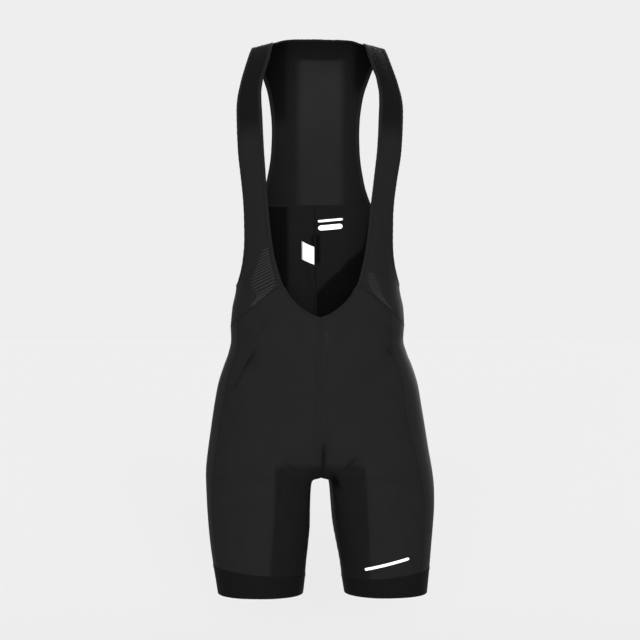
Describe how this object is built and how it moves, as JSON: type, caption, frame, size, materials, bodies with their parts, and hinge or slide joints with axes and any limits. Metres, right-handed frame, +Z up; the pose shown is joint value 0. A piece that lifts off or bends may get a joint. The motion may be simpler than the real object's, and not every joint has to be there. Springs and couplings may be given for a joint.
{
  "type": "cycling bib shorts",
  "caption": "Stretch-knit cycling shorts with a light mesh bib, wide shoulder straps, a racer back and gripper leg bands, in their worn hollow form",
  "frame": {"origin": "between the two shoulder straps, level with their outer edges, where the wearer's shoulders hold the garment up", "axes": "+Z up; the front faces -Y; +X is towards the wearer's left"},
  "size_m": [0.3803, 0.237, 0.9297],
  "materials": {
    "knit": "black stretch knit with a soft sheen",
    "side_knit": "black ribbed stretch knit",
    "mesh_knit": "black light mesh knit",
    "leg_band": "black doubled elastic band",
    "label": "white woven label, blank"
  },
  "bodies": {
    "root": {"front_left": "knit", "front_right": "knit", "side_left": "side_knit", "side_right": "side_knit", "seat_left": "knit", "seat_right": "knit", "leg_band_left": "leg_band", "leg_band_right": "leg_band", "bib_front_left": "mesh_knit", "bib_front_right": "mesh_knit", "bib_back": "mesh_knit", "care_label": "label"}
  },
  "joints": []
}
